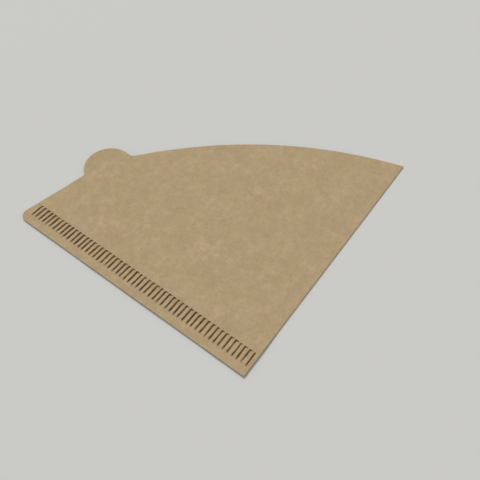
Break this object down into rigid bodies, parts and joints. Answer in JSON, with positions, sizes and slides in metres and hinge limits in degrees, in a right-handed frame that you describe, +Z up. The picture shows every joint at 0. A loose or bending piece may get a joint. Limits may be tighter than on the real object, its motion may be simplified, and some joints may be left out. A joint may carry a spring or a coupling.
{
  "type": "paper coffee filter",
  "caption": "Flat folded cone filter of unbleached paper, with a folded edge, a toothed crimped seam, an arc rim and a rounded pull tab.",
  "frame": {"origin": "centre of the flat filter's bounding box, on the surface that it lies on", "axes": "+X along the fold, from the tip's corner to the rim; +Y along the toothed seam, from the tip's corner to the rim; +Z up, through the plies"},
  "size_m": [0.1246, 0.117, 0.0012],
  "materials": {
    "paper": "matte, slightly mottled, with dark fibre flecks"
  },
  "bodies": {
    "root": {"filter_paper": "paper"}
  },
  "joints": []
}
